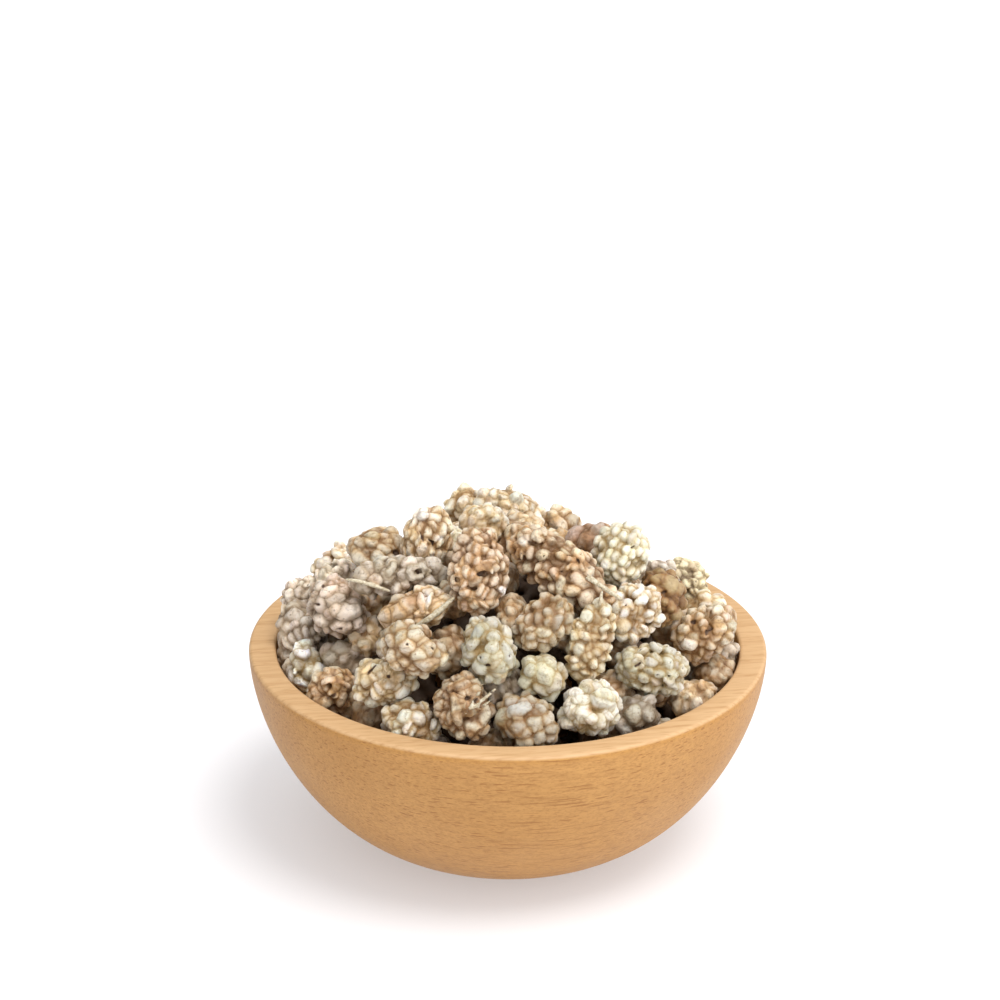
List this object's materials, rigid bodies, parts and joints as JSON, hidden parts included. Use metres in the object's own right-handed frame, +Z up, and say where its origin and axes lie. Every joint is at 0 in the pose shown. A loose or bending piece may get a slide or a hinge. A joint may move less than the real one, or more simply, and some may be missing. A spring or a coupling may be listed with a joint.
{
  "type": "bowl of dried mulberries",
  "caption": "Turned wooden bowl with rounded sides and a small flat foot, heaped with dried white mulberries, each a knobbly ovoid of bead-like drupelets.",
  "frame": {"origin": "middle of the bowl's foot, on the surface that it stands on", "axes": "+Z up along the bowl's axis, -Y towards the side that the picture shows, +X to that side's right"},
  "size_m": [0.12, 0.12, 0.0861],
  "materials": {
    "beech": "oiled satin, with beech's short dark flecks",
    "dried_mulberry_white": "dull, with a chalky sugar bloom",
    "dried_mulberry_cream": "waxy and slightly translucent, tan in its creases",
    "dried_mulberry_tan": "waxy and slightly translucent, brown in its creases",
    "dried_mulberry_brown": "waxy, golden brown, darker in its creases",
    "dried_mulberry_grey": "dull grey cream, with grey brown creases",
    "dried_mulberry_shade": "waxy tan and brown, seen in the shade between the outer ones"
  },
  "bodies": {
    "root": {"bowl": "beech", "mulberries_beneath": "dried_mulberry_shade", "mulberry_01": "dried_mulberry_tan", "mulberry_02": "dried_mulberry_tan", "mulberry_03": "dried_mulberry_cream", "mulberry_04": "dried_mulberry_cream", "mulberry_05": "dried_mulberry_brown", "mulberry_06": "dried_mulberry_cream", "mulberry_07": "dried_mulberry_grey", "mulberry_08": "dried_mulberry_tan", "mulberry_09": "dried_mulberry_tan", "mulberry_10": "dried_mulberry_cream", "mulberry_11": "dried_mulberry_grey", "mulberry_12": "dried_mulberry_grey", "mulberry_13": "dried_mulberry_grey", "mulberry_14": "dried_mulberry_white", "mulberry_15": "dried_mulberry_brown", "mulberry_16": "dried_mulberry_white", "mulberry_17": "dried_mulberry_brown", "mulberry_18": "dried_mulberry_cream", "mulberry_19": "dried_mulberry_white", "mulberry_20": "dried_mulberry_tan", "mulberry_21": "dried_mulberry_white", "mulberry_22": "dried_mulberry_tan", "mulberry_23": "dried_mulberry_cream", "mulberry_24": "dried_mulberry_brown", "mulberry_25": "dried_mulberry_tan", "mulberry_26": "dried_mulberry_white", "mulberry_27": "dried_mulberry_brown", "mulberry_28": "dried_mulberry_brown", "mulberry_29": "dried_mulberry_grey", "mulberry_30": "dried_mulberry_tan", "mulberry_31": "dried_mulberry_cream", "mulberry_32": "dried_mulberry_white", "mulberry_33": "dried_mulberry_grey", "mulberry_34": "dried_mulberry_tan", "mulberry_35": "dried_mulberry_cream", "mulberry_36": "dried_mulberry_white", "mulberry_37": "dried_mulberry_brown", "mulberry_38": "dried_mulberry_grey", "mulberry_39": "dried_mulberry_cream", "mulberry_40": "dried_mulberry_tan", "mulberry_41": "dried_mulberry_tan", "mulberry_42": "dried_mulberry_cream", "mulberry_43": "dried_mulberry_white", "mulberry_44": "dried_mulberry_brown", "mulberry_45": "dried_mulberry_grey", "mulberry_46": "dried_mulberry_cream", "mulberry_47": "dried_mulberry_tan", "mulberry_48": "dried_mulberry_tan", "mulberry_49": "dried_mulberry_cream", "mulberry_50": "dried_mulberry_white", "mulberry_51": "dried_mulberry_brown", "mulberry_52": "dried_mulberry_grey", "mulberry_53": "dried_mulberry_cream", "mulberry_54": "dried_mulberry_tan", "mulberry_55": "dried_mulberry_tan", "mulberry_56": "dried_mulberry_cream", "mulberry_57": "dried_mulberry_white", "mulberry_58": "dried_mulberry_brown"}
  },
  "joints": []
}
